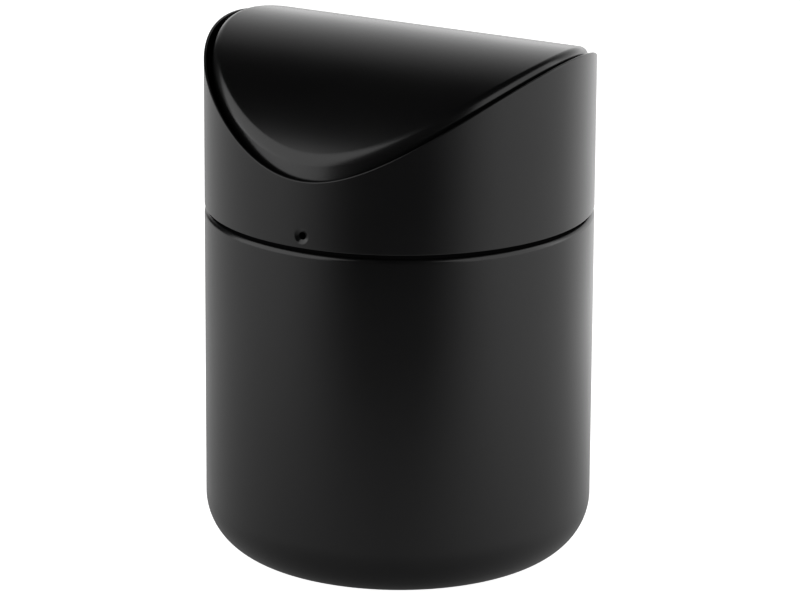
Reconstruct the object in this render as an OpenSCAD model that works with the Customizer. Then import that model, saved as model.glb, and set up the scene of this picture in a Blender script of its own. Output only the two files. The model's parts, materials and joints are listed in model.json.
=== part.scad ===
// Countertop bin with a saddle-cut collar and a flap that swings shut by its own weight.
// Z is up and the origin is the middle of the foot. The front faces -Y, the right side +X.
// The flap swings about X, on pins just inside the collar's two peaks.

/* [Overall] */
// Outside diameter of the can and the collar
bin_d = 120; // [110:1:130]
// Height from the table to the ridge of the flap
bin_h = 165; // [160:1:180]
// Height from the table to the rim of the can
can_h = 109.6; // [100:0.2:114]
// Thickness of the can's and the collar's steel
steel_t = 0.8; // [0.6:0.1:1]

/* [Can] */
// Outside radius of the drawn corner round the bottom
corner_r = 17.7; // [8:0.1:24]
// Outside radius of the roll at the rim
roll_r = 1.6; // [1.2:0.1:2.4]
// How far the rim turns in to its curled edge
lip_w = 3.2; // [3:0.1:5]
// Radius of the curl at the lip's edge
curl_r = 0.8; // [0.6:0.05:1]
// Radius of the recess pressed into the bottom
recess_r = 38.5; // [25:0.5:39]
// Depth of the recess in the bottom
recess_h = 1.3; // [0.8:0.1:2]

/* [Foot] */
// Thickness of the non-slip pad
pad_t = 1.55; // [1:0.05:2.2]
// Gap between the pad and the recess around it
pad_gap = 0.4; // [0.2:0.1:1]

/* [Collar] */
// Height of the open seam between the can and the collar
seam_h = 1.2; // [0.8:0.1:2]
// Drop from the collar's side peaks to its front and rear valleys
saddle_dip = 32.2; // [26:0.2:34]
// Number of dimples that lock the collar to the carrier
dimple_n = 3; // [2:1:6]
// Height of the dimples above the collar's lower edge
dimple_up = 3.75; // [3.5:0.25:6]
// Diameter of a dimple at the outside
dimple_d = 4.7; // [4:0.1:5]
// Depth of a dimple
dimple_deep = 1.1; // [0.9:0.05:1.3]
// Diameter of the hole pierced in a dimple
pierce_d = 2.4; // [1.5:0.1:2.8]

/* [Carrier] */
// Wall of the carrier behind the collar
seat_t = 1.55; // [1.3:0.05:2]
// Height of the carrier's wall above the collar's lower edge
seat_h = 13; // [10:0.5:14]
// How deep the carrier's plug reaches into the can
plug_h = 12; // [8:0.5:20]
// Wall of the plug
plug_t = 1.5; // [1.2:0.1:2]
// Gap between the plug and the can's curled lip
plug_gap = 0.3; // [0.2:0.05:0.6]
// How far the black seam lies back from the collar's outside
seam_deep = 1; // [0.9:0.05:1.4]
// Half width of a pivot post at its foot
post_w = 10; // [8:0.5:12]
// Gap between a post and the swinging flap
post_gap = 0.4; // [0.3:0.05:0.6]
// Thickness of the gusset that stops the flap
stop_t = 3; // [2:0.25:4]
// How far in from the pivot post the stop gusset reaches
stop_reach = 13.5; // [11:0.5:14]

/* [Flap] */
// Gap between the flap and the collar all round
flap_gap = 1.9; // [1.6:0.1:2.4]
// How far the flap's arch stands above the collar's rim
flap_proud = 1.3; // [0.5:0.1:2]
// Thickness of the flap's steel
flap_t = 0.7; // [0.5:0.1:0.9]
// How far the soft shoulder starts back from the sharp crossing of arch and skirt
shoulder_set = 2.45; // [1.8:0.05:2.8]
// How far the flap's skirt hangs below the rim at the front
skirt_dip = 1.5; // [1:0.25:2]

/* [Pivot] */
// Drop from the flap's ridge to the pivot axis
pivot_drop = 9; // [8:0.25:10.5]
// Diameter of the pivot pins
pin_d = 4; // [3:0.25:5]
// Running clearance all round a pin in its post
pin_play = 0.05; // [0.02:0.01:0.1]
// Wall of the boss round a pin
boss_wall = 2.5; // [2:0.1:3]
// Length of a post's boss
boss_l = 3; // [2.5:0.25:4]
// Gap between the boss and the flap's ear, and round the boss in the skirt
ear_gap = 0.3; // [0.2:0.05:0.5]
// Length of the ear that holds a pin
ear_l = 6.5; // [5:0.5:9]

/* [Flap frame] */
// Wall of the ring inside the flap's skirt
ring_t = 2.2; // [1.8:0.1:2.8]
// Height of that ring
ring_h = 3.4; // [2.6:0.2:3.8]
// Thickness of the frame's ribs
rib_t = 1.6; // [1.2:0.1:2.4]
// Depth of the frame's ribs
rib_h = 6; // [4:0.5:8]
// Distance between neighbouring cross ribs
rib_pitch = 22; // [16:1:26]
// Gap between the frame and the flap's steel
bond_gap = 0.1; // [0.05:0.05:0.2]

/* [Balance bars] */
// Length of a balance bar
bar_l = 56; // [50:1:64]
// Thickness of a balance bar
bar_t = 5; // [3:0.5:6]
// Height of a balance bar
bar_h = 9; // [6:0.5:10]
// Distance from the flap's outside in to the far face of a bar
bar_set = 12.3; // [11.5:0.1:16]

/* [Hidden] */

$fn = 96;
eps = 0.01;
big = 400;

// Can
bin_r = bin_d / 2;
bin_in = bin_r - steel_t;
glue_t = 0.05;
foot_z = pad_t + glue_t - recess_h;
lip_in = bin_r - lip_w;

// Saddle, an arc about an axis along X that the collar and the flap share
collar_z = can_h + seam_h;
peak_z = bin_h - flap_proud;
valley_z = peak_z - saddle_dip;
saddle_r = (bin_r * bin_r + saddle_dip * saddle_dip) / (2 * saddle_dip);
saddle_z = peak_z - saddle_r;

// Carrier
fit_gap = 0.05;
seat_out = bin_in - fit_gap;
seat_in = seat_out - seat_t;
plug_out = lip_in - plug_gap;
plug_in = plug_out - plug_t;
seat_top = collar_z + seat_h;

// Flap
flap_r = bin_in - flap_gap;
arch_r = saddle_r + flap_proud;
flap_in = flap_r - flap_t;

// Radius of the shoulder at a turn about Z, which grows as the crossing opens towards the front
function shoulder_at(a) = shoulder_set / tan(acos(flap_r * pow(sin(a), 2) / arch_r) / 2);
shoulder_r = shoulder_at(90);

// Pivot
pivot_z = bin_h - pivot_drop;
pin_r = pin_d / 2;
boss_r = pin_r + boss_wall;
post_in = flap_r + post_gap;
boss_in = post_in - boss_l;
ear_out = boss_in - ear_gap;
notch_r = boss_r + 2 * ear_gap;
ear_wall = 4;
ear_r = pin_r + ear_wall;
bore_end = seat_out - 0.6;

// Lower edge of the flap's skirt, an arc from below the valleys to below the pivots
skirt_drop = 3.5;
edge_side_z = pivot_z - skirt_drop;
edge_front_z = valley_z - skirt_dip;
edge_sag = edge_side_z - edge_front_z;
edge_r = (flap_r * flap_r + edge_sag * edge_sag) / (2 * edge_sag);
edge_z = edge_side_z - edge_r;

// Height of an arc about X, at a distance y from the middle
function arc_z(r, centre_z, y) = centre_z + sqrt(r * r - y * y);

// A tube standing on height z0
module tube(r_out, r_in, z0, z1) {
    difference() {
        translate([0, 0, z0]) cylinder(r = r_out, h = z1 - z0);
        translate([0, 0, z0 - 1]) cylinder(r = r_in, h = z1 - z0 + 2);
    }
}

// A solid cylinder about an axis along X, centred over the middle
module x_roll(r, z, length) {
    translate([-length / 2, 0, z]) rotate([0, 90, 0]) cylinder(r = r, h = length);
}

// Everything under an arc about X
module under_arc(r, centre_z) {
    union() {
        x_roll(r, centre_z, big);
        translate([-big / 2, -big / 2, centre_z - big]) cube([big, big, big]);
    }
}

// The layer between two arcs that share their axis
module arc_layer(r_out, r_in, centre_z) {
    difference() {
        under_arc(r_out, centre_z);
        under_arc(r_in, centre_z);
    }
}

// What is drawn on the right, and its mirror image on the left
module both_sides() {
    children();
    mirror([1, 0, 0]) children();
}

// Can: one drawn shell, turned in and curled at the rim, with a recess for the pad

// Half section of the can's outside, or of its inside when set back by the steel
module can_section(back) {
    r = bin_r - back;
    low = foot_z + back;
    high = can_h - back;
    corner = corner_r - back;
    roll = roll_r - back;
    union() {
        translate([0, low]) square([r - corner, high - low]);
        translate([r - corner - 1, low + corner]) square([corner + 1, high - low - corner - roll]);
        translate([r - corner - 1, high - roll - 1]) square([corner + 1 - roll, roll + 1]);
        translate([r - corner, low + corner]) circle(r = corner);
        translate([r - roll, high - roll]) circle(r = roll);
    }
}

module body_can() {
    floor_top = foot_z + recess_h + steel_t;
    color([0.06, 0.06, 0.065])
    rotate_extrude()
    intersection() {
        union() {
            difference() {
                can_section(0);
                difference() {
                    can_section(steel_t);
                    square([recess_r + steel_t, floor_top]);
                }
                square([recess_r, foot_z + recess_h]);
                translate([0, can_h - roll_r]) square([lip_in + curl_r, roll_r + 1]);
            }
            translate([lip_in + curl_r, can_h - curl_r]) circle(r = curl_r);
        }
        square([bin_r, can_h]);
    }
}

// Foot: a non-slip pad glued in the recess, a little proud of the can
module foot_pad() {
    chamfer = 0.3;
    color([0.05, 0.05, 0.05])
    union() {
        cylinder(r1 = recess_r - pad_gap - chamfer, r2 = recess_r - pad_gap, h = chamfer);
        translate([0, 0, chamfer]) cylinder(r = recess_r - pad_gap, h = pad_t - chamfer);
    }
}

// Collar: a steel sleeve with a saddle cut, held by pierced dimples

// Places what is drawn along +X at each dimple, the first one at the front
module at_dimples() {
    for (k = [0 : dimple_n - 1])
        rotate([0, 0, 360 * k / dimple_n - 90])
        translate([0, 0, collar_z + dimple_up])
        children();
}

// A cone about X from the collar's outside inwards
module dimple_cone(r_out, r_in, from_x, to_x) {
    translate([from_x, 0, 0]) rotate([0, -90, 0]) cylinder(r1 = r_out, r2 = r_in, h = from_x - to_x);
}

module collar() {
    dimple_wall = 0.6;
    root = 0.3;
    cone_in = pierce_d / 2;
    cone_out = dimple_d / 2;
    slope = (cone_out - cone_in) / dimple_deep;
    nose_x = bin_r - dimple_deep - steel_t / 2;
    color([0.06, 0.06, 0.065])
    difference() {
        union() {
            intersection() {
                tube(bin_r, bin_in, collar_z, peak_z);
                under_arc(saddle_r, saddle_z);
            }
            at_dimples()
                dimple_cone(cone_out + dimple_wall, cone_in + dimple_wall, bin_in + root, nose_x);
        }
        at_dimples() {
            dimple_cone(cone_out + slope, cone_in, bin_r + 1, bin_r - dimple_deep);
            dimple_cone(cone_in, cone_in, bin_r, nose_x - 1);
        }
    }
}

// Carrier: the moulded frame inside the collar, with a plug, a pivot post and a stop at each side

module carrier_ring() {
    lead = 0.8;
    union() {
        tube(seat_out, seat_in, collar_z, seat_top);
        tube(bin_r - seam_deep, plug_in, can_h, collar_z);
        difference() {
            union() {
                translate([0, 0, can_h - plug_h + lead]) cylinder(r = plug_out, h = plug_h - lead);
                translate([0, 0, can_h - plug_h])
                    cylinder(r1 = plug_out - lead, r2 = plug_out, h = lead);
            }
            translate([0, 0, can_h - plug_h - 1]) cylinder(r = plug_in, h = plug_h + 2);
        }
    }
}

// Post outline seen along X: broad at its foot, round about the pivot
module post_outline() {
    union() {
        translate([pivot_z, 0]) circle(r = ear_r);
        polygon([
            [collar_z, -post_w], [seat_top, -post_w], [pivot_z, -ear_r],
            [pivot_z, ear_r], [seat_top, post_w], [collar_z, post_w]
        ]);
    }
}

// Extrudes an outline of (height, y) points along X between two distances from the middle
module side_plate(x0, x1) {
    translate([x0, 0, 0]) mirror([1, 0, 0]) rotate([0, -90, 0]) linear_extrude(x1 - x0) children();
}

module pivot_post() {
    union() {
        intersection() {
            side_plate(post_in, bin_r) post_outline();
            translate([0, 0, collar_z]) cylinder(r = seat_out, h = bin_h);
        }
        translate([boss_in, 0, pivot_z]) rotate([0, 90, 0]) cylinder(r = boss_r, h = boss_l + eps);
    }
}

// Gusset in the plane of the posts, from the plug's wall up to the seat's top
module stop_gusset() {
    lift = 2;
    inner_x = post_in - stop_reach;
    foot_low = can_h - plug_h + lift;
    translate([0, stop_t / 2, 0])
    rotate([90, 0, 0])
    linear_extrude(stop_t)
    polygon([
        [plug_in + plug_t / 2, foot_low], [inner_x, collar_z], [inner_x, seat_top],
        [seat_in + seat_t / 2, seat_top], [seat_in + seat_t / 2, collar_z - seam_h / 2],
        [plug_in + plug_t / 2, collar_z - seam_h / 2]
    ]);
}

module carrier_frame() {
    pocket_gap = 0.8;
    pocket_r = dimple_d / 2 + pocket_gap;
    color([0.03, 0.03, 0.03])
    difference() {
        union() {
            carrier_ring();
            both_sides() {
                pivot_post();
                stop_gusset();
            }
        }
        both_sides()
            translate([boss_in - eps, 0, pivot_z])
            rotate([0, 90, 0])
            cylinder(r = pin_r + pin_play, h = bore_end - boss_in);
        at_dimples()
            dimple_cone(pocket_r, pocket_r, seat_out + 1, seat_in - 1);
    }
}

// Flap: a pressed shell whose shoulder rolls round the crossing of an upright and a lying cylinder

columns = 96;
function turn(i) = 360 * i / columns;

// Middle of the ball that rolls along the shoulder, at column i
function ball(i) =
    let (roll = shoulder_at(turn(i)), r = flap_r - roll, y = r * sin(turn(i)))
    [r * cos(turn(i)), y, arc_z(arch_r - roll, saddle_z, y)];

// Direction from the ball's middle, from the skirt at t = 0 to the arch at t = 1
function shoulder_dir(i, t) =
    let (
        c = ball(i),
        out = [cos(turn(i)), sin(turn(i)), 0],
        up = [0, c[1], c[2] - saddle_z] / (arch_r - shoulder_at(turn(i))),
        spread = acos(out * up)
    )
    (sin((1 - t) * spread) * out + sin(t * spread) * up) / sin(spread);

// Rows of points up one face of the shell, set back from the outside by back
function shell_rows(back, steps) = concat(
    [[for (i = [0 : columns - 1])
        let (r = flap_r - back, y = r * sin(turn(i)))
        [r * cos(turn(i)), y, arc_z(edge_r, edge_z, y)]]],
    [for (s = [0 : steps])
        [for (i = [0 : columns - 1])
            ball(i) + (shoulder_at(turn(i)) - back) * shoulder_dir(i, s / steps)]]
);

function flat_list(rows) = [for (row = rows) each row];

// Triangles between rows that start at point base
function row_faces(base, rows, out) = [
    for (j = [0 : rows - 2])
    for (i = [0 : columns - 1])
    let (
        a = base + j * columns + i,
        b = base + j * columns + (i + 1) % columns,
        c = b + columns,
        d = a + columns
    )
    each out ? [[a, d, b], [b, d, c]] : [[a, b, d], [b, c, d]]
];

// Strips along X that close the arch over a row, from the front to the rear
function arch_faces(base, out) = [
    for (i = [-columns / 4 : columns / 4 - 1])
    let (
        a = base + (i + columns) % columns,
        b = base + (i + 1 + columns) % columns,
        c = base + (columns / 2 - i - 1) % columns,
        d = base + (columns / 2 - i) % columns
    )
    each concat(
        a == d ? [] : [out ? [a, d, b] : [a, b, d]],
        b == c ? [] : [out ? [b, d, c] : [b, c, d]]
    )
];

module flap_shell() {
    outer_steps = 6;
    inner_steps = 4;
    outer = flat_list(shell_rows(0, outer_steps));
    inner = flat_list(shell_rows(flap_t, inner_steps));
    base = len(outer);
    outer_top = (outer_steps + 1) * columns;
    inner_top = base + (inner_steps + 1) * columns;
    rim = [
        for (i = [0 : columns - 1])
        let (k = (i + 1) % columns)
        each [[i, k, base + i], [k, base + k, base + i]]
    ];
    color([0.06, 0.06, 0.065])
    difference() {
        polyhedron(
            points = concat(outer, inner),
            faces = concat(
                row_faces(0, outer_steps + 2, true),
                arch_faces(outer_top, true),
                row_faces(base, inner_steps + 2, false),
                arch_faces(inner_top, false),
                rim
            )
        );
        both_sides() pivot_notch();
    }
}

// Slot that lets the skirt and the frame's ring swing about a post's boss
module pivot_notch() {
    union() {
        translate([ear_out, 0, pivot_z]) rotate([0, 90, 0]) cylinder(r = notch_r, h = bin_r - ear_out);
        translate([ear_out, -notch_r, edge_front_z])
            cube([bin_r - ear_out, 2 * notch_r, pivot_z - edge_front_z]);
    }
}

// Flap frame: the moulded skeleton bonded under the steel, with an ear at each end

deck_r = arch_r - flap_t - bond_gap;
ring_out = flap_in - bond_gap;
ring_in = ring_out - ring_t;
ring_lift = 0.3;
spine_y = ear_r - rib_t;
loop_w = 4;
bar_out = flap_r - bar_set;
bar_z = arc_z(deck_r - rib_h, saddle_z, bar_out - bar_t) - bar_h + rib_t;

module skirt_ring() {
    intersection() {
        tube(ring_out, ring_in, 0, bin_h);
        arc_layer(edge_r + ring_lift + ring_h, edge_r + ring_lift, edge_z);
    }
}

// Where ribs may run: full height under the flat of the arch, lower under the shoulder
module rib_room() {
    inset = 0.5;
    union() {
        intersection() {
            cylinder(r = flap_r - shoulder_r - inset, h = bin_h);
            arc_layer(deck_r, deck_r - rib_h, saddle_z);
        }
        intersection() {
            cylinder(r = ring_in + ring_t / 2, h = bin_h);
            arc_layer(deck_r - rib_h / 2, deck_r - rib_h, saddle_z);
        }
    }
}

module ribs() {
    intersection() {
        rib_room();
        union() {
            for (k = [-1 : 1])
                translate([k * rib_pitch - rib_t / 2, -bin_r, 0]) cube([rib_t, bin_d, bin_h]);
            for (side = [-1, 1])
                translate([-bin_r, side * (spine_y + rib_t / 2) - rib_t / 2, 0])
                cube([bin_d, rib_t, bin_h]);
        }
    }
}

// Closed loops that hold the balance bars under the outer cross ribs
module bar_loops() {
    reach = 2;
    skin_gap = 0.8;
    intersection() {
        cylinder(r = flap_r - shoulder_r + reach, h = bin_h);
        under_arc(deck_r - skin_gap, saddle_z);
        for (k = [-1, 1])
            for (side = [-1, 1])
                translate([k * rib_pitch - loop_w / 2, side * (bar_out - bar_t / 2), bar_z - rib_t])
                translate([0, -bar_t / 2 - rib_t, 0])
                cube([loop_w, bar_t + 2 * rib_t, bar_h + 2 * rib_t]);
    }
}

// Ear outline seen along X: round about the pin and square where it meets the ribs
module ear_outline() {
    skin_gap = 2.2;
    ear_top = arc_z(deck_r, saddle_z, ear_r) - skin_gap;
    union() {
        translate([pivot_z, 0]) circle(r = ear_r);
        translate([pivot_z, -ear_r]) square([ear_top - pivot_z, 2 * ear_r]);
    }
}

module flap_frame() {
    color([0.03, 0.03, 0.03])
    difference() {
        union() {
            difference() {
                skirt_ring();
                both_sides() pivot_notch();
            }
            ribs();
            bar_loops();
            both_sides() side_plate(ear_out - ear_l, ear_out) ear_outline();
        }
        x_roll(pin_r + eps, pivot_z, big);
        for (side = [-1, 1]) balance_bar(side, bond_gap);
    }
}

// Balance bars: flat steel clipped into the cross ribs, low at the front and at the rear

// A bar on one side of the middle, grown by spare for the slot that holds it
module balance_bar(side, spare) {
    translate([-bar_l / 2 - spare, side * (bar_out - bar_t / 2) - bar_t / 2 - spare, bar_z - spare])
        cube([bar_l + 2 * spare, bar_t + 2 * spare, bar_h + 2 * spare]);
}

module balance_bar_front() {
    color([0.5, 0.5, 0.5]) balance_bar(-1, 0);
}

module balance_bar_rear() {
    color([0.5, 0.5, 0.5]) balance_bar(1, 0);
}

// Pivot pins: headed steel pins pressed through the ears into the posts' bores

module pivot_pin() {
    head_h = 0.8;
    head_over = 1;
    end_gap = 0.4;
    taper_l = 0.5;
    taper = 0.4;
    ear_in = ear_out - ear_l;
    tip = bore_end - end_gap - taper_l;
    union() {
        translate([ear_in - head_h, 0, pivot_z])
            rotate([0, 90, 0])
            cylinder(r = pin_r + head_over, h = head_h);
        translate([ear_in - eps, 0, pivot_z])
            rotate([0, 90, 0])
            cylinder(r = pin_r, h = tip - ear_in);
        translate([tip - eps, 0, pivot_z])
            rotate([0, 90, 0])
            cylinder(r1 = pin_r, r2 = pin_r - taper, h = taper_l);
    }
}

module pivot_pin_right() {
    color([0.7, 0.7, 0.72]) pivot_pin();
}

module pivot_pin_left() {
    color([0.7, 0.7, 0.72]) mirror([1, 0, 0]) pivot_pin();
}

body_can();
foot_pad();
collar();
carrier_frame();
flap_shell();
flap_frame();
balance_bar_front();
balance_bar_rear();
pivot_pin_left();
pivot_pin_right();
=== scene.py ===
import json
import math

import bmesh
import bpy
from mathutils import Matrix, Vector


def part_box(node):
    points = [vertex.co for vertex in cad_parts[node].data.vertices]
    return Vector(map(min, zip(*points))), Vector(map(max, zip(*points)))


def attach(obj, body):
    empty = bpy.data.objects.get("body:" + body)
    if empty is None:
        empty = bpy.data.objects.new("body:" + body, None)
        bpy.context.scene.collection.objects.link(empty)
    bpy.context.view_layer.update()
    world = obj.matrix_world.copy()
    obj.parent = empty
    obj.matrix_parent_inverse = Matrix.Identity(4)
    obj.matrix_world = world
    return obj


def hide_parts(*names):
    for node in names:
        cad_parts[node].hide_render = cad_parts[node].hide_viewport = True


bl_info = {
    "name": "Swing-lid countertop bin",
    "version": (1, 0, 0),
    "blender": (4, 5, 0),
    "location": "View3D > Sidebar > Bin",
    "description": "Dresses the packed bin: steel shells, mouldings, hardware and studio",
    "category": "Add Mesh",
}

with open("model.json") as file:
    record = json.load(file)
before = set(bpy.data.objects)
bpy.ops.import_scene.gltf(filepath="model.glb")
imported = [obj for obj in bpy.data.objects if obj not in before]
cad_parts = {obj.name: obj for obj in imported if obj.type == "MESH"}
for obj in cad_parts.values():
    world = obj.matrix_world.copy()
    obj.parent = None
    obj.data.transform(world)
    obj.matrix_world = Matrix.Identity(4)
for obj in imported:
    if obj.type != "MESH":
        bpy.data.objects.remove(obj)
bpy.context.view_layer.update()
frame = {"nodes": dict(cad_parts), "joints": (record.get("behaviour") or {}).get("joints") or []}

MM = 0.001
MERGE = 0.001 * MM
SEGMENTS = 192
SMALL_SEGMENTS = 64
DIMPLE_SEGMENTS = 48
ARC_STEPS = 10
LONG_ARC_STEPS = 3 * ARC_STEPS
SHOULDER_STEPS = ARC_STEPS + 2
PIN_ARC_STEPS = 4
BEVEL_STEPS = 3

CAN_LOW, CAN_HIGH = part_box("body_can")
FOOT_LOW, FOOT_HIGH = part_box("foot_pad")
COLLAR_LOW, COLLAR_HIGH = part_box("collar")
FLAP_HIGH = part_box("flap_shell")[1]
SWING = next(j for j in frame["joints"] if j["name"] == "flap_swing")


def length(name, description, default):
    """A length that a user may change, in metres."""
    return bpy.props.FloatProperty(
        name=name, description=description, default=default, unit="LENGTH", precision=5
    )


def angle(name, description, degrees):
    """An angle that a user may change, given here in degrees."""
    return bpy.props.FloatProperty(
        name=name, description=description, default=math.radians(degrees), subtype="ANGLE"
    )


def colour(name, description, default):
    """A linear colour that a user may change."""
    return bpy.props.FloatVectorProperty(
        name=name, description=description, default=default, subtype="COLOR", size=3, min=0, max=1
    )


def factor(name, description, default):
    """A share from 0 to 1 that a user may change."""
    return bpy.props.FloatProperty(
        name=name, description=description, default=default, subtype="FACTOR", min=0, max=1
    )


class BinShellSizes(bpy.types.PropertyGroup):
    """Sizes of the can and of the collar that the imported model's boxes don't give"""

    steel: length("Steel", "Thickness of the can's and the collar's steel", 0.8 * MM)
    corner: length("Corner", "Outside radius of the drawn corner round the bottom", 17.7 * MM)
    roll: length("Roll", "Outside radius of the roll at the can's rim", 1.6 * MM)
    lip: length("Lip", "How far the can's rim turns in", 3.2 * MM)
    curl: length("Curl", "Radius of the curl at the lip's edge", 0.8 * MM)
    recess: length("Recess", "Radius of the recess in the bottom", 38.5 * MM)
    recess_deep: length("Recess depth", "Depth of the recess in the bottom", 1.3 * MM)
    recess_bend: length("Recess bend", "Radius that rounds the recess's step", 0.5 * MM)
    pad_edge: length("Pad edge", "Radius of the foot pad's edges", 0.3 * MM)
    saddle_dip: length("Saddle dip", "Drop from the collar's peaks to its valleys", 32.2 * MM)
    edge: length("Edge", "Radius that the collar's cut edges are softened by", 0.38 * MM)
    dimple: length("Dimple", "Diameter of a dimple at the outside", 4.7 * MM)
    dimple_lip: length("Dimple lip", "Radius that rolls the wall into a dimple", 0.6 * MM)
    dimple_deep: length("Dimple depth", "Depth of a dimple", 0.7 * MM)
    dimple_up: length("Dimple height", "Height of a dimple above the collar's edge", 3.75 * MM)
    pierce: length("Pierced hole", "Diameter of the hole in a dimple", 2.4 * MM)
    dimples: bpy.props.IntProperty(
        name="Dimples", description="Number of dimples round the collar", default=3, min=1
    )


class BinFlapSizes(bpy.types.PropertyGroup):
    """Sizes of the flap's steel shell"""

    steel: length("Steel", "Thickness of the flap's steel", 0.7 * MM)
    proud: length("Proud", "How far the arch stands above the collar's saddle", 1.3 * MM)
    shoulder: length("Shoulder", "Setback of the shoulder from the sharp crossing", 2.45 * MM)
    lean: angle("Lean", "Lean of the skirt at the front and the rear", 6)
    skirt_drop: length("Skirt drop", "How far the skirt reaches below the pivots", 3.5 * MM)
    skirt_dip: length("Skirt dip", "How far the skirt reaches below the collar's valleys", 1.5 * MM)
    notch: length("Notch", "Radius of the slot round a pivot boss", 5.1 * MM)
    notch_deep: length("Notch depth", "How far in from the flap's side a slot reaches", 2.9 * MM)
    edge: length("Edge", "Radius that the skirt's cut edge is softened by", 0.15 * MM)
    bar_edge: length("Bar edge", "Radius of a balance bar's broken edges", 0.4 * MM)
    pin: length("Pin", "Diameter of a pivot pin's stem", 4.0 * MM)
    head: length("Pin head", "Height of a pivot pin's head", 0.8 * MM)
    pin_edge: length("Pin edge", "Radius and chamfer of a pin's edges", 0.25 * MM)


class BinFinish(bpy.types.PropertyGroup):
    """Colours and gloss of the finishes"""

    paint: colour("Paint", "Colour of the powder coat", (0.0024, 0.0024, 0.0025))
    paint_gloss: factor("Paint roughness", "Roughness of the powder coat", 0.24)
    plastic: colour("Plastic", "Colour of the mouldings", (0.012, 0.012, 0.0125))
    rubber: colour("Rubber", "Colour of the foot pad", (0.016, 0.016, 0.016))
    bar: colour("Bar steel", "Colour of the balance bars", (0.30, 0.30, 0.305))
    pin: colour("Pin steel", "Colour of the pivot pins", (0.62, 0.62, 0.63))
    floor: colour("Floor", "Colour of the studio floor", (0.86, 0.86, 0.865))


class BinStudio(bpy.types.PropertyGroup):
    """Camera and lights, with angles counted from the camera's side of the bin"""

    azimuth: angle("Azimuth", "Turn of the camera from the front towards the right side", 29.09)
    elevation: angle("Elevation", "Height angle of the camera", 16.76)
    roll: angle("Roll", "Turn of the camera about its view", 0.33)
    distance: length("Distance", "Distance from the camera to the bin", 1.5)
    aim_height: length("Aim height", "Height that the camera looks at", 0.07918)
    aim_side: length("Aim side", "How far right of the bin's axis the camera looks", 0.0003)
    lens: bpy.props.FloatProperty(
        name="Lens",
        description="Focal length for a 36 mm wide sensor",
        default=217.9,
        unit="CAMERA",
    )
    dim_turn: angle("Dim turn", "Turn of the reflector's dim side from the camera to the right", -4)
    wall_turn: angle("Wall turn", "Turn of the pale wall from the camera to the right", 150)
    room: bpy.props.FloatProperty(name="Room", description="Radiance of the dim room", default=0.02)
    wall: bpy.props.FloatProperty(
        name="Wall", description="Radiance of the pale wall behind the bin", default=1.6
    )


def sizes():
    """The user's settings: shells, flap, finish and studio."""
    scene = bpy.context.scene
    return scene.bin_shell, scene.bin_flap, scene.bin_finish, scene.bin_studio


# Outlines and rings


class Pen:
    """Draws an outline in the XZ half plane with lines and spun arcs, for the lathe."""

    def __init__(self, x, z):
        self.bm = bmesh.new()
        self.tip = self.bm.verts.new((x, 0, z))
        self.start = self.tip

    def line(self, x, z):
        """Draws a straight line to a point."""
        self.tip = bmesh.ops.extrude_vert_indiv(self.bm, verts=[self.tip])["verts"][0]
        self.tip.co = (x, 0, z)
        return self

    def arc(self, x, z, degrees, steps=ARC_STEPS):
        """Draws an arc about a point, anticlockwise when seen with X right and Z up."""
        spun = bmesh.ops.spin(
            self.bm,
            geom=[self.tip],
            cent=(x, 0, z),
            axis=(0, -1, 0),
            angle=math.radians(degrees),
            steps=steps,
            use_duplicate=False,
        )
        self.tip = next(g for g in spun["geom_last"] if isinstance(g, bmesh.types.BMVert))
        return self

    def close(self):
        """Joins the end of the outline to its start."""
        self.bm.edges.new((self.tip, self.start))
        return self

    def lathe(self, segments=SEGMENTS):
        """Spins the outline about Z into a closed skin."""
        bmesh.ops.spin(
            self.bm,
            geom=self.bm.verts[:] + self.bm.edges[:],
            cent=(0, 0, 0),
            axis=(0, 0, 1),
            angle=math.tau,
            steps=segments,
            use_merge=True,
            use_duplicate=False,
        )
        bmesh.ops.remove_doubles(self.bm, verts=self.bm.verts[:], dist=MERGE)
        loose = [e for e in self.bm.edges if not e.link_faces]
        bmesh.ops.delete(self.bm, geom=loose, context="EDGES")
        bmesh.ops.recalc_face_normals(self.bm, faces=self.bm.faces[:])
        return self.bm


def piece(bm, name, body, material, replaces, sharp=30):
    """Makes an object of a mesh: rides a body, takes a slot and stands for a CAD node."""
    mesh = bpy.data.meshes.new(name)
    bm.to_mesh(mesh)
    bm.free()
    mesh.shade_smooth()
    mesh.set_sharp_from_angle(angle=math.radians(sharp))
    mesh.materials.append(material)
    obj = bpy.data.objects.new(name, mesh)
    bpy.context.scene.collection.objects.link(obj)
    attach(obj, body)
    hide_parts(replaces)
    return obj


def cut(bm, cutters):
    """Cuts a mesh with others and gives the new mesh."""
    work = helper_object(bm, "work")
    tools = [helper_object(cutter, "tool") for cutter in cutters]
    for tool in tools:
        step = work.modifiers.new("cut", "BOOLEAN")
        step.operation = "DIFFERENCE"
        step.solver = "EXACT"
        step.object = tool
    result = bmesh.new()
    result.from_mesh(work.evaluated_get(bpy.context.evaluated_depsgraph_get()).to_mesh())
    for obj in [work] + tools:
        mesh = obj.data
        bpy.data.objects.remove(obj)
        bpy.data.meshes.remove(mesh)
    return result


def helper_object(bm, name):
    """A scratch object for a cut, removed after it."""
    mesh = bpy.data.meshes.new(name)
    bm.to_mesh(mesh)
    bm.free()
    obj = bpy.data.objects.new(name, mesh)
    bpy.context.scene.collection.objects.link(obj)
    return obj


def round_normals(obj, normal_at, near=0.999, soft=0.9):
    """Gives corners on a curved wall that wall's own normal, so cuts leave its shading clean."""
    mesh = obj.data
    true = {}
    for face in mesh.polygons:
        for v in face.vertices:
            normal = normal_at(mesh.vertices[v].co, face.normal)
            if normal is not None and normal.dot(face.normal) > near:
                true[v] = normal
    normals = [Vector(n.vector) for n in mesh.corner_normals]
    for face in mesh.polygons:
        for loop, v in zip(face.loop_indices, face.vertices):
            if v in true and true[v].dot(face.normal) > soft:
                normals[loop] = true[v]
    mesh.normals_split_custom_set(normals)


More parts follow.
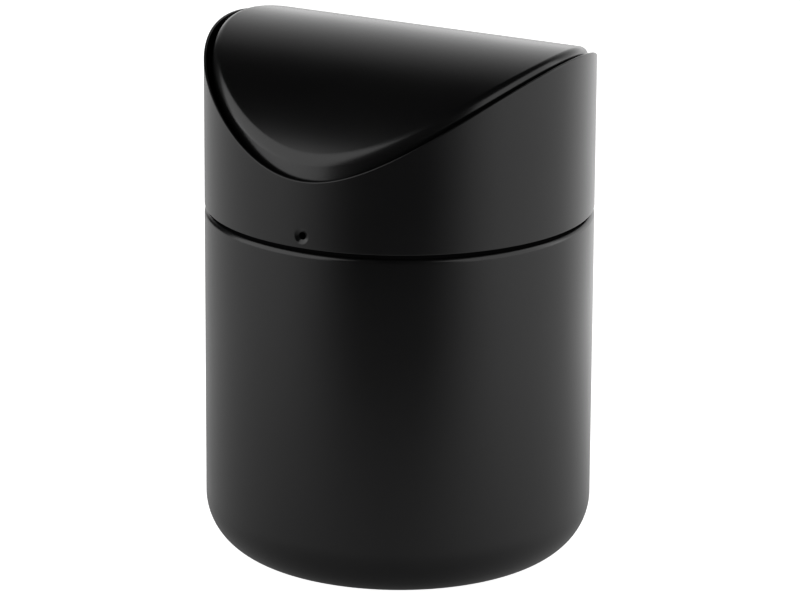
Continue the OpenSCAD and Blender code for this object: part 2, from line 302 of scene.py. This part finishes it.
def arc_height(radius, centre_z, y):
    """Height of an arc about X, at a distance y from the middle."""
    return centre_z + math.sqrt(max(radius * radius - y * y, 0))


def saddle(shell):
    """Radius and height of the axis of the arc that the collar's rim follows."""
    r = COLLAR_HIGH.x
    radius = (r * r + shell.saddle_dip**2) / (2 * shell.saddle_dip)
    return radius, COLLAR_HIGH.z - radius


# Materials


class Graph:
    """A node tree in the making; a source is a socket or a plain value."""

    TINT_STOPS = (0.35, 0.65)

    def __init__(self, tree):
        self.nodes, self.links = tree.nodes, tree.links

    def feed(self, socket, source):
        """Links a socket to a source, or sets a plain value on it."""
        if isinstance(source, bpy.types.NodeSocket):
            self.links.new(source, socket)
        else:
            socket.default_value = source

    def coordinates(self, kind="Object"):
        """Texture coordinates."""
        return self.nodes.new("ShaderNodeTexCoord").outputs[kind]

    def noise(self, scale, detail, roughness, stretch=(1, 1, 1)):
        """Noise in object coordinates, with its own stretch."""
        turn = self.nodes.new("ShaderNodeMapping")
        self.feed(turn.inputs["Vector"], self.coordinates())
        self.feed(turn.inputs["Scale"], stretch)
        texture = self.nodes.new("ShaderNodeTexNoise")
        self.feed(texture.inputs["Vector"], turn.outputs["Vector"])
        self.feed(texture.inputs["Scale"], scale)
        self.feed(texture.inputs["Detail"], detail)
        self.feed(texture.inputs["Roughness"], roughness)
        return texture.outputs["Fac"]

    def spread(self, source, low, high, start=0.3, end=0.7, smooth=False):
        """Runs from low to high while a source runs from start to end, noise's usual range."""
        step = self.nodes.new("ShaderNodeMapRange")
        step.interpolation_type = "SMOOTHSTEP" if smooth else "LINEAR"
        self.feed(step.inputs["Value"], source)
        self.feed(step.inputs["From Min"], start)
        self.feed(step.inputs["From Max"], end)
        self.feed(step.inputs["To Min"], low)
        self.feed(step.inputs["To Max"], high)
        return step.outputs["Result"]

    def maths(self, operation, *sources):
        """Works out a value from others."""
        node = self.nodes.new("ShaderNodeMath")
        node.operation = operation
        for socket, source in zip(node.inputs, sources):
            self.feed(socket, source)
        return node.outputs["Value"]

    def mixed(self, share, low, high):
        """Mixes two values by a share."""
        node = self.nodes.new("ShaderNodeMix")
        self.feed(node.inputs["Factor"], share)
        self.feed(node.inputs["A"], low)
        self.feed(node.inputs["B"], high)
        return node.outputs["Result"]

    def split(self, vector):
        """A vector's X, Y and Z."""
        node = self.nodes.new("ShaderNodeSeparateXYZ")
        self.feed(node.inputs["Vector"], vector)
        return node.outputs["X"], node.outputs["Y"], node.outputs["Z"]

    def bump(self, shader, *layers):
        """Stacks bumps on a shader: each layer is a height, its depth and a strength."""
        under = None
        for height, depth, strength in layers:
            step = self.nodes.new("ShaderNodeBump")
            self.feed(step.inputs["Height"], height)
            self.feed(step.inputs["Distance"], depth)
            self.feed(step.inputs["Strength"], strength)
            if under is not None:
                self.feed(step.inputs["Normal"], under)
            under = step.outputs["Normal"]
        self.feed(shader.inputs["Normal"], under)

    def tint(self, shader, source, base, change):
        """Varies a shader's colour a little about its base."""
        ramp = self.nodes.new("ShaderNodeValToRGB")
        shares = (1 - change, 1 + change)
        for stop, position, share in zip(ramp.color_ramp.elements, self.TINT_STOPS, shares):
            stop.position = position
            stop.color = [c * share for c in base] + [1]
        self.feed(ramp.inputs["Fac"], source)
        self.feed(shader.inputs["Base Color"], ramp.outputs["Color"])


def new_material(name):
    """A material with its graph and its shader."""
    material = bpy.data.materials.new(name)
    material.use_nodes = True
    return material, Graph(material.node_tree), material.node_tree.nodes["Principled BSDF"]


def powder_coat(name, finish):
    """Satin black powder coat: fine orange peel, faint flow marks and gloss that varies."""
    material, graph, shader = new_material(name)
    peel = graph.noise(scale=900, detail=3, roughness=0.55)
    grain = graph.noise(scale=3500, detail=2, roughness=0.6)
    flow = graph.noise(scale=22, detail=3, roughness=0.5)
    graph.tint(shader, flow, finish.paint, change=0.12)
    glossy, dull = finish.paint_gloss - 0.02, finish.paint_gloss + 0.02
    graph.feed(shader.inputs["Roughness"], graph.spread(flow, glossy, dull))
    shader.inputs["IOR"].default_value = 1.5
    graph.bump(shader, (peel, 0.01 * MM, 0.5), (grain, 0.003 * MM, 0.5))
    return material


def moulded_plastic(name, base):
    """Black moulding with a fine spark-eroded face."""
    material, graph, shader = new_material(name)
    pits = graph.noise(scale=2600, detail=3, roughness=0.65)
    flow = graph.noise(scale=60, detail=2, roughness=0.5)
    graph.tint(shader, flow, base, change=0.15)
    graph.feed(shader.inputs["Roughness"], graph.spread(pits, 0.48, 0.62))
    graph.bump(shader, (pits, 0.02 * MM, 0.6))
    return material


def painted_shade_band(material, low, high, gloss=0.5, shade=0.15):
    """Paints shade on a moulding between two heights: takes its gloss and most of its colour away
    there, a painted shadow for a recess.
    """
    graph = Graph(material.node_tree)
    shader = graph.nodes["Principled BSDF"]
    height = graph.split(graph.coordinates())[2]
    inside = graph.maths("COMPARE", height, (low + high) / 2, (high - low) / 2)
    graph.feed(shader.inputs["Specular IOR Level"], graph.spread(inside, gloss, 0, 0, 1))
    dark = graph.nodes.new("ShaderNodeVectorMath")
    dark.operation = "SCALE"
    graph.feed(dark.inputs["Vector"], shader.inputs["Base Color"].links[0].from_socket)
    graph.feed(dark.inputs["Scale"], graph.spread(inside, 1, shade, 0, 1))
    graph.feed(shader.inputs["Base Color"], dark.outputs["Vector"])


def foam_rubber(name, base):
    """Matt foam rubber with closed cells."""
    material, graph, shader = new_material(name)
    foam = graph.nodes.new("ShaderNodeTexVoronoi")
    graph.feed(foam.inputs["Vector"], graph.coordinates())
    graph.feed(foam.inputs["Scale"], 1400)
    cells = foam.outputs["Distance"]
    graph.tint(shader, graph.noise(scale=500, detail=3, roughness=0.6), base, change=0.25)
    graph.feed(shader.inputs["Roughness"], graph.spread(cells, 0.8, 0.95, 0, 1))
    graph.bump(shader, (cells, 0.08 * MM, 0.7))
    return material


def bare_steel(name, base, stretch, smooth, rough):
    """Bare steel with the fine lines that drawing or turning leaves."""
    material, graph, shader = new_material(name)
    lines = graph.noise(scale=1500, detail=4, roughness=0.6, stretch=stretch)
    stain = graph.noise(scale=90, detail=3, roughness=0.55)
    graph.tint(shader, stain, base, change=0.12)
    shader.inputs["Metallic"].default_value = 1
    graph.feed(shader.inputs["Roughness"], graph.spread(lines, smooth, rough))
    graph.bump(shader, (lines, 0.01 * MM, 0.5))
    return material


def dress(node, material):
    """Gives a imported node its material."""
    for slot in frame["nodes"][node].material_slots:
        slot.material = material


# Operators, one for each piece or group of like pieces


class BIN_OT_can(bpy.types.Operator):
    """Lathes the drawn can, with its rolled rim, curled lip and the recess under it"""

    bl_idname = "bin.add_can"
    bl_label = "Can"

    def execute(self, context):
        shell, _, finish, _ = sizes()
        r, low, high = CAN_HIGH.x, CAN_LOW.z, CAN_HIGH.z
        wall, roll, curl, corner = shell.steel, shell.roll, shell.curl, shell.corner
        bend = shell.recess_bend
        ceiling = low + shell.recess_deep
        flat = shell.recess - bend
        pen = Pen(0, ceiling)
        pen.line(flat, ceiling).arc(flat, ceiling - bend, -90)
        pen.line(shell.recess, low + bend).arc(shell.recess + bend, low + bend, 90)
        pen.line(r - corner, low).arc(r - corner, low + corner, 90, LONG_ARC_STEPS)
        pen.line(r, high - roll).arc(r - roll, high - roll, 90)
        lip = r - shell.lip + curl
        pen.line(lip, high).arc(lip, high - curl, 270, LONG_ARC_STEPS)
        pen.line(r - roll, high - wall).arc(r - roll, high - roll, -90)
        pen.line(r - wall, low + corner).arc(r - corner, low + corner, -90, LONG_ARC_STEPS)
        pen.line(flat + bend + wall, low + wall).arc(flat, ceiling - bend, 90)
        pen.line(0, ceiling + wall)
        paint = powder_coat("can_paint", finish)
        piece(pen.lathe(), "can_shell", "can", paint, "body_can")
        return {"FINISHED"}


class BIN_OT_foot(bpy.types.Operator):
    """Lathes the soft-edged foam pad in the recess"""

    bl_idname = "bin.add_foot"
    bl_label = "Foot pad"

    def execute(self, context):
        shell, _, finish, _ = sizes()
        r, low, high, edge = FOOT_HIGH.x, FOOT_LOW.z, FOOT_HIGH.z, shell.pad_edge
        pen = Pen(0, low)
        pen.line(r - edge, low).arc(r - edge, low + edge, 90)
        pen.line(r, high - edge).arc(r - edge, high - edge, 90).line(0, high)
        rubber = foam_rubber("foot_rubber", finish.rubber)
        piece(pen.lathe(), "foot_disc", "can", rubber, "foot_pad")
        return {"FINISHED"}


class BIN_OT_collar(bpy.types.Operator):
    """Lathes the collar, lowers its rim to the saddle and presses the pierced dimples"""

    bl_idname = "bin.add_collar"
    bl_label = "Collar"

    def execute(self, context):
        shell, _, finish, _ = sizes()
        r, low, high = COLLAR_HIGH.x, COLLAR_LOW.z, COLLAR_HIGH.z
        inner, edge = r - shell.steel, shell.edge
        pen = Pen(r - edge, low)
        pen.arc(r - edge, low + edge, 90).line(r, high - edge)
        pen.arc(r - edge, high - edge, 90).line(inner + edge, high)
        pen.arc(inner + edge, high - edge, 90).line(inner, low + edge)
        pen.arc(inner + edge, low + edge, 90, ARC_STEPS - 1).close()
        bm = pen.lathe()
        saddle_r, saddle_z = saddle(shell)
        for v in bm.verts:
            if v.co.z > (low + high) / 2:
                side = r * v.co.y / math.hypot(v.co.x, v.co.y)
                v.co.z += arc_height(saddle_r, saddle_z, side) - high

        cutters, cups = [], []
        for k in range(shell.dimples):
            turn = Matrix.Rotation(math.tau * k / shell.dimples, 4, "Z")
            cutter, cup = self.dimple(shell, r)
            cutter.transform(turn)
            cup.transform(turn)
            cutters.append(cutter)
            cups.append(cup)
        bm = cut(bm, cutters)
        for cup in cups:
            mesh = bpy.data.meshes.new("cup")
            cup.to_mesh(mesh)
            cup.free()
            bm.from_mesh(mesh)
            bpy.data.meshes.remove(mesh)
        paint = powder_coat("collar_paint", finish)
        obj = piece(bm, "collar_shell", "head", paint, "collar")
        round_normals(obj, self.wall_normal)
        return {"FINISHED"}

    def dimple(self, shell, r):
        """The cutter and the pressed cup of a dimple at the front, bent to the wall."""
        wide, hole, deep = shell.dimple / 2, shell.pierce / 2, shell.dimple_deep
        lip, wall = shell.dimple_lip, shell.steel
        slope = math.atan2(deep, wide - hole)
        turn_out = lip * math.tan(slope / 2)
        rim = wide + turn_out + lip / 2
        nose = deep + wall / 2
        pen = Pen(rim, 0)
        pen.line(wide + turn_out, 0).arc(wide + turn_out, -lip, math.degrees(slope))
        pen.line(hole, -deep).line(hole, -nose)
        pen.line(hole + wall, -nose).line(hole + wall, -deep).line(wide + wall / 2, -wall)
        pen.line(rim, -wall).close()
        cup = pen.lathe(DIMPLE_SEGMENTS)
        out = Matrix(((1, 0, 0, 0), (0, 0, -1, 0), (0, 1, 0, 0), (0, 0, 0, 1)))
        cup.transform(out)
        for v in cup.verts:
            v.co.y -= math.sqrt(r * r - v.co.x**2)
            v.co.z += COLLAR_LOW.z + shell.dimple_up
        cutter = bmesh.new()
        bmesh.ops.create_cone(
            cutter,
            cap_ends=True,
            segments=DIMPLE_SEGMENTS,
            radius1=rim,
            radius2=rim,
            depth=6 * wall,
            matrix=Matrix.Translation((0, -r, COLLAR_LOW.z + shell.dimple_up)) @ out,
        )
        return cutter, cup

    @staticmethod
    def wall_normal(co, face_normal):
        """The collar wall's own normal, outwards or inwards as the face looks."""
        out = Vector((co.x, co.y, 0)).normalized()
        return out if out.dot(face_normal) > 0 else -out


class BIN_OT_flap(bpy.types.Operator):
    """Rolls the flap's shell from skirt to arch, gives it its thickness and slots it"""

    bl_idname = "bin.add_flap"
    bl_label = "Flap shell"

    def execute(self, context):
        shell, flap, finish, _ = sizes()
        self.r = FLAP_HIGH.x
        self.saddle_r, self.saddle_z = saddle(shell)
        self.arch_r = self.saddle_r + flap.proud
        self.steel, self.setback, self.lean = flap.steel, flap.shoulder, math.tan(flap.lean)
        pivot = SWING["pos_m"][2]
        side_z = pivot - flap.skirt_drop
        front_z = COLLAR_HIGH.z - shell.saddle_dip - flap.skirt_dip
        sag = side_z - front_z
        self.edge_r = (self.r**2 + sag**2) / (2 * sag)
        self.edge_z = side_z - self.edge_r

        bm = bmesh.new()
        rims = self.skin(bm, 0) + self.skin(bm, flap.steel)
        bmesh.ops.bridge_loops(bm, edges=rims)
        bmesh.ops.recalc_face_normals(bm, faces=bm.faces[:])
        bmesh.ops.bevel(
            bm,
            geom=rims,
            offset=flap.edge,
            offset_type="OFFSET",
            affect="EDGES",
            segments=BEVEL_STEPS,
            profile=0.5,
            material=-1,
        )
        bm = cut(bm, self.slots(flap, pivot, front_z))
        paint = powder_coat("flap_paint", finish)
        obj = piece(bm, "flap_skin", "flap", paint, "flap_shell")
        round_normals(obj, self.skin_normal, near=0.98)
        return {"FINISHED"}

    def ball(self, turn):
        """Middle and radius of the ball that rolls along the shoulder, wider as it opens."""
        opening = math.acos(self.r * math.sin(turn) ** 2 / self.arch_r)
        radius = self.setback / math.tan(opening / 2)
        out = self.r - radius
        y = out * math.sin(turn)
        z = arc_height(self.arch_r - radius, self.saddle_z, y)
        return Vector((out * math.cos(turn), y, z)), radius

    def skirt(self, turn, back):
        """Top of the skirt at a turn, the way that it faces and how it leans."""
        lean = self.lean * math.sin(turn) ** 2
        middle, radius = self.ball(turn)
        facing = Vector((math.cos(turn), math.sin(turn), lean)).normalized()
        return middle + (radius - back) * facing, facing, lean

    def skin(self, bm, back):
        """One face of the shell, set back from the outside; gives the edges of its rim."""
        turns = bm.verts.layers.float.get("turn") or bm.verts.layers.float.new("turn")
        ring = set(bmesh.ops.create_circle(bm, segments=SEGMENTS, radius=self.r - back)["verts"])
        for v in ring:
            v[turns] = math.atan2(v.co.y, v.co.x)
            top, _, lean = self.skirt(v[turns], back)
            low = arc_height(self.edge_r, self.edge_z, v.co.y)
            wide = top.xy.length + lean * (top.z - low)
            v.co = (wide * math.cos(v[turns]), wide * math.sin(v[turns]), low)
        rim = [e for e in bm.edges if ring.issuperset(e.verts)]
        edges = rim
        for step in range(SHOULDER_STEPS + 1):
            grown = bmesh.ops.extrude_edge_only(bm, edges=edges)["geom"]
            row = {g for g in grown if isinstance(g, bmesh.types.BMVert)}
            edges = [g for g in grown if isinstance(g, bmesh.types.BMEdge)]
            edges = [e for e in edges if row.issuperset(e.verts)]
            for v in row:
                middle, radius = self.ball(v[turns])
                facing = self.skirt(v[turns], back)[1]
                up = Vector((0, middle.y, middle.z - self.saddle_z)).normalized()
                v.co = middle + (radius - back) * facing.slerp(up, step / SHOULDER_STEPS)
        self.close_arch(bm, edges)
        return rim

    def close_arch(self, bm, edges):
        """Closes the arch over its top row with strips along X."""
        front = min((v for e in edges for v in e.verts), key=lambda v: v.co.y)
        rear = max((v for e in edges for v in e.verts), key=lambda v: v.co.y)
        sides = [e for e in edges if front not in e.verts and rear not in e.verts]
        bmesh.ops.bridge_loops(bm, edges=sides)
        bmesh.ops.holes_fill(bm, edges=[e for e in bm.edges if e.is_boundary], sides=3)

    def slots(self, flap, pivot, low):
        """Cutters for the slots that let the skirt swing about the pivot bosses."""
        cutters = []
        depth = flap.notch_deep + flap.notch
        for side in (-1, 1):
            x = side * (self.r - flap.notch_deep + depth / 2)
            cylinder, block = bmesh.new(), bmesh.new()
            bmesh.ops.create_cone(
                cylinder,
                cap_ends=True,
                segments=SMALL_SEGMENTS,
                radius1=flap.notch,
                radius2=flap.notch,
                depth=depth,
                matrix=Matrix.Translation((x, 0, pivot)) @ Matrix.Rotation(math.pi / 2, 4, "Y"),
            )
            size = Matrix.Diagonal((depth, 2 * flap.notch, pivot - low, 1))
            bmesh.ops.create_cube(
                block, size=1, matrix=Matrix.Translation((x, 0, (pivot + low) / 2)) @ size
            )
            cutters += [cylinder, block]
        return cutters

    def skin_normal(self, co, face_normal):
        """The arch's or the skirt's own normal at a point, and none on the shoulder."""
        slack = 0.004 * MM
        lying = Vector((0, co.y, co.z - self.saddle_z))
        for back in (0, self.steel):
            top, facing, lean = self.skirt(math.atan2(co.y, co.x), back)
            wide = top.xy.length + lean * (top.z - co.z)
            on_skirt = co.z < top.z + slack and abs(co.xy.length - wide) < slack
            if on_skirt or abs(lying.length - self.arch_r + back) < slack:
                normal = facing if on_skirt else lying.normalized()
                return normal if normal.dot(face_normal) > 0 else -normal
        return None


class BIN_OT_mouldings(bpy.types.Operator):
    """Finishes the carrier and the flap's frame as spark-eroded mouldings, with painted shade in
    the carrier's seam band
    """

    bl_idname = "bin.finish_mouldings"
    bl_label = "Mouldings"

    def execute(self, context):
        finish = sizes()[2]
        carrier = moulded_plastic("carrier_plastic", finish.plastic)
        # Painted shade: the carrier's band between the can's rim and the collar's edge is darkened
        # and made matt, standing in for the shadow in the seam.
        painted_shade_band(carrier, CAN_HIGH.z, COLLAR_LOW.z)
        dress("carrier_frame", carrier)
        dress("flap_frame", moulded_plastic("frame_plastic", finish.plastic))
        return {"FINISHED"}


class BIN_OT_bars(bpy.types.Operator):
    """Cuts the balance bars from rolled flat steel with broken edges"""

    bl_idname = "bin.add_bars"
    bl_label = "Balance bars"

    def execute(self, context):
        _, flap, finish, _ = sizes()
        steel = bare_steel("bar_steel", finish.bar, (0.02, 1, 1), smooth=0.35, rough=0.55)
        for side in ("front", "rear"):
            low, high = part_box("balance_bar_" + side)
            bm = bmesh.new()
            place = Matrix.Translation((low + high) / 2) @ Matrix.Diagonal((*(high - low), 1))
            bmesh.ops.create_cube(bm, size=1, matrix=place)
            bmesh.ops.bevel(
                bm,
                geom=bm.edges[:],
                offset=flap.bar_edge,
                offset_type="OFFSET",
                affect="EDGES",
                segments=BEVEL_STEPS,
                profile=0.5,
                material=-1,
            )
            piece(bm, side + "_bar", "flap", steel, "balance_bar_" + side)
        return {"FINISHED"}


class BIN_OT_pins(bpy.types.Operator):
    """Turns the headed pivot pins"""

    bl_idname = "bin.add_pins"
    bl_label = "Pivot pins"

    def execute(self, context):
        _, flap, finish, _ = sizes()
        steel = bare_steel("pin_steel", finish.pin, (8, 1, 1), smooth=0.2, rough=0.32)
        for side in ("left", "right"):
            low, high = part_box("pivot_pin_" + side)
            span, head = high.x - low.x, (high.y - low.y) / 2
            stem, soft = flap.pin / 2, flap.pin_edge
            pen = Pen(0, 0)
            pen.line(head - soft, 0).arc(head - soft, soft, 90, PIN_ARC_STEPS)
            pen.line(head, flap.head - soft)
            pen.arc(head - soft, flap.head - soft, 90, PIN_ARC_STEPS)
            pen.line(stem, flap.head).line(stem, span - 2 * soft).line(stem - soft, span)
            pen.line(0, span)
            bm = pen.lathe(SMALL_SEGMENTS)
            end = high.x if side == "left" else low.x
            way = -1 if side == "left" else 1
            bm.transform(
                Matrix.Translation((end, 0, (low.z + high.z) / 2))
                @ Matrix.Rotation(way * math.pi / 2, 4, "Y")
            )
            piece(bm, side + "_pin", "flap", steel, "pivot_pin_" + side)
        return {"FINISHED"}


# Studio


class BIN_OT_studio(bpy.types.Operator):
    """Sets the floor, the reflector, the lights and the camera"""

    bl_idname = "bin.add_studio"
    bl_label = "Studio"

    SENSOR = 36
    STAGE = 8
    DOME = 4.5
    # Turn from the camera and height in degrees, distance and size in metres, power in watts
    SOFTBOXES = {
        "left_softbox": (-76, 19, 1.1, 1.5, 10.2),
        "right_softbox": (72, 18, 1.1, 1.65, 10.5),
    }
    # The reflector's radiance near the bin and further out, and those two distances in metres
    AHEAD = (0.29, 0.02, 0.12, 0.5)
    LEFT = (0.46, 0.62, 0.1, 0.3)
    RIGHT = (0.6, 0.85, 0.1, 0.3)
    BRIGHT = (0.6, 1.25, 0.1, 0.3)
    # The share of it that is left in the bin's own shade, and the distances that it fades over
    SHADE = (0.3, 1, 0.045, 0.095)
    # The half angle where the dim side starts to fade, near and further out, with the distances,
    # and the half angle where it has faded
    DIM_START = (0, 0.28, 0.15, 0.45)
    DIM_END = 1.2
    # The sine of the heading over which left turns into right, and the cosine of the heading
    # from the pale wall over which right turns bright
    LEFT_TO_RIGHT = (-0.4, 0.4)
    TO_BRIGHT = (0.75, 1)
    # The wall's half angles, full and faded, and the sine of the height where it ends
    WALL_SIDE = (0.75, 1.1)
    WALL_TOP = 0.78

    def execute(self, context):
        _, _, finish, studio = sizes()
        self.floor(finish)
        self.reflector(studio)
        self.world(studio)
        for name, (turn, height, distance, size, power) in self.SOFTBOXES.items():
            self.softbox(name, self.direction(turn, height, studio), distance, size, power, studio)
        self.camera(studio)
        context.scene.view_settings.view_transform = "Standard"
        return {"FINISHED"}

    def camera(self, studio):
        """Places the camera from its angles and distance."""
        back = self.direction(0, math.degrees(studio.elevation), studio)
        right = Vector((math.cos(studio.azimuth), math.sin(studio.azimuth), 0))
        up = back.cross(right)
        tilted = right * math.cos(studio.roll) + up * math.sin(studio.roll)
        aim = Vector((0, 0, studio.aim_height)) + tilted * studio.aim_side
        data = bpy.data.cameras.new("camera")
        data.sensor_width = self.SENSOR
        data.lens = studio.lens
        data.clip_start = 0.05
        camera = bpy.data.objects.new("camera", data)
        axes = Matrix((tilted, back.cross(tilted), back)).transposed().to_4x4()
        camera.matrix_world = Matrix.Translation(aim + back * studio.distance) @ axes
        bpy.context.scene.collection.objects.link(camera)
        bpy.context.scene.camera = camera

    @staticmethod
    def direction(turn, height, studio):
        """A direction by its turn in degrees from the camera to the right, and its height."""
        turn = studio.azimuth + math.radians(turn)
        height = math.radians(height)
        flat = math.cos(height)
        return Vector((math.sin(turn) * flat, -math.cos(turn) * flat, math.sin(height)))

    @staticmethod
    def softbox(name, where, distance, size, power, studio):
        """A square softbox in a direction, that faces the bin."""
        data = bpy.data.lights.new(name, "AREA")
        data.shape = "SQUARE"
        data.size = size
        data.energy = power
        light = bpy.data.objects.new(name, data)
        light.location = where * distance + Vector((0, 0, studio.aim_height))
        light.rotation_euler = where.to_track_quat("Z", "Y").to_euler()
        bpy.context.scene.collection.objects.link(light)

    def plane(self, name, height):
        """A square plane of the stage."""
        bm = bmesh.new()
        bmesh.ops.create_grid(bm, x_segments=1, y_segments=1, size=self.STAGE / 2)
        bmesh.ops.translate(bm, verts=bm.verts[:], vec=(0, 0, height))
        return self.stage_object(name, bm)

    @staticmethod
    def stage_object(name, bm):
        """Makes an object of the stage."""
        mesh = bpy.data.meshes.new(name)
        bm.to_mesh(mesh)
        bm.free()
        obj = bpy.data.objects.new(name, mesh)
        bpy.context.scene.collection.objects.link(obj)
        return obj

    @staticmethod
    def hide(obj, *rays):
        """Hides an object of the stage from kinds of ray."""
        for ray in rays:
            setattr(obj, "visible_" + ray, False)

    def floor(self, finish):
        """A glowing pale floor and backdrop, which reflections leave to the reflector."""
        material, _, shader = new_material("floor")
        shader.inputs["Base Color"].default_value = (*finish.floor, 1)
        shader.inputs["Roughness"].default_value = 0.9
        shader.inputs["Emission Color"].default_value = (1, 1, 1, 1)
        shader.inputs["Emission Strength"].default_value = 1
        floor = self.plane("floor", 0)
        floor.data.materials.append(material)
        self.hide(floor, "glossy")
        bm = bmesh.new()
        bmesh.ops.create_uvsphere(bm, u_segments=64, v_segments=32, radius=self.DOME)
        dome = self.stage_object("backdrop", bm)
        dome.data.materials.append(material)
        self.hide(dome, "diffuse", "glossy", "transmission", "volume_scatter", "shadow")

    @staticmethod
    def heading(graph, where, turn, studio):
        """The heading of a place from a turn to the camera's right, and the place's height."""
        mapping = graph.nodes.new("ShaderNodeMapping")
        graph.feed(mapping.inputs["Vector"], where)
        graph.feed(mapping.inputs["Rotation"], (0, 0, math.pi / 2 - studio.azimuth - turn))
        x, y, z = graph.split(mapping.outputs["Vector"])
        return graph.maths("ARCTAN2", y, x), z

    def reflector(self, studio):
        """A glowing card just under the floor, dim towards the camera, that only gloss sees."""
        card = self.plane("reflector", -MM)
        self.hide(card, "camera", "diffuse", "transmission", "volume_scatter", "shadow")
        material = bpy.data.materials.new("reflector")
        material.use_nodes = True
        graph = Graph(material.node_tree)
        graph.nodes.clear()
        where = graph.coordinates()
        distance = graph.nodes.new("ShaderNodeVectorMath")
        distance.operation = "LENGTH"
        graph.feed(distance.inputs[0], where)
        far = distance.outputs["Value"]
        heading, _ = self.heading(graph, where, studio.dim_turn, studio)
        start = graph.spread(far, *self.DIM_START)
        aside = graph.maths("ABSOLUTE", heading)
        beside = graph.spread(aside, 0, 1, start, self.DIM_END, smooth=True)
        right = graph.spread(graph.maths("SINE", heading), 0, 1, *self.LEFT_TO_RIGHT)
        from_wall = graph.maths("SUBTRACT", heading, studio.wall_turn)
        bright = graph.spread(graph.maths("COSINE", from_wall), 0, 1, *self.TO_BRIGHT)
        right_light = graph.mixed(
            bright, graph.spread(far, *self.RIGHT), graph.spread(far, *self.BRIGHT)
        )
        side_light = graph.mixed(right, graph.spread(far, *self.LEFT), right_light)
        open_light = graph.mixed(beside, graph.spread(far, *self.AHEAD), side_light)
        glow = graph.nodes.new("ShaderNodeEmission")
        light = graph.maths("MULTIPLY", open_light, graph.spread(far, *self.SHADE))
        graph.feed(glow.inputs["Strength"], light)
        out = graph.nodes.new("ShaderNodeOutputMaterial")
        graph.feed(out.inputs["Surface"], glow.outputs["Emission"])
        card.data.materials.append(material)

    def world(self, studio):
        """A dim room with a pale wall low behind the bin."""
        world = bpy.data.worlds.new("studio")
        world.use_nodes = True
        graph = Graph(world.node_tree)
        where = graph.coordinates("Generated")
        heading, height = self.heading(graph, where, studio.wall_turn, studio)
        low = graph.spread(height, 1, 0, 0, self.WALL_TOP)
        aside = graph.maths("ABSOLUTE", heading)
        behind = graph.spread(aside, 1, 0, *self.WALL_SIDE, smooth=True)
        share = graph.maths("MULTIPLY", low, behind)
        light = graph.spread(share, studio.room, studio.wall, 0, 1)
        background = graph.nodes["Background"]
        graph.feed(background.inputs["Strength"], light)
        graph.feed(background.inputs["Color"], (1, 1, 1, 1))
        bpy.context.scene.world = world


class BIN_PT_panel(bpy.types.Panel):
    """Buttons for the bin's pieces, in the order they are made, and its settings"""

    bl_idname = "BIN_PT_panel"
    bl_label = "Swing-lid bin"
    bl_space_type = "VIEW_3D"
    bl_region_type = "UI"
    bl_category = "Bin"

    def draw(self, context):
        for operator in OPERATORS:
            self.layout.operator(operator.bl_idname)
        for name, group in GROUPS.items():
            box = self.layout.box()
            box.label(text=group.bl_rna.name)
            for prop in group.__annotations__:
                box.prop(getattr(context.scene, name), prop)


OPERATORS = (
    BIN_OT_can,
    BIN_OT_foot,
    BIN_OT_collar,
    BIN_OT_flap,
    BIN_OT_mouldings,
    BIN_OT_bars,
    BIN_OT_pins,
    BIN_OT_studio,
)
GROUPS = {
    "bin_shell": BinShellSizes,
    "bin_flap": BinFlapSizes,
    "bin_finish": BinFinish,
    "bin_studio": BinStudio,
}


def register():
    for name, group in GROUPS.items():
        bpy.utils.register_class(group)
        setattr(bpy.types.Scene, name, bpy.props.PointerProperty(type=group))
    for cls in (*OPERATORS, BIN_PT_panel):
        bpy.utils.register_class(cls)


def unregister():
    for cls in (BIN_PT_panel, *reversed(OPERATORS)):
        bpy.utils.unregister_class(cls)
    for name, group in GROUPS.items():
        delattr(bpy.types.Scene, name)
        bpy.utils.unregister_class(group)


def main():
    register()
    for operator in OPERATORS:
        group, name = operator.bl_idname.split(".")
        getattr(getattr(bpy.ops, group), name)()


if __name__ == "__main__":
    main()
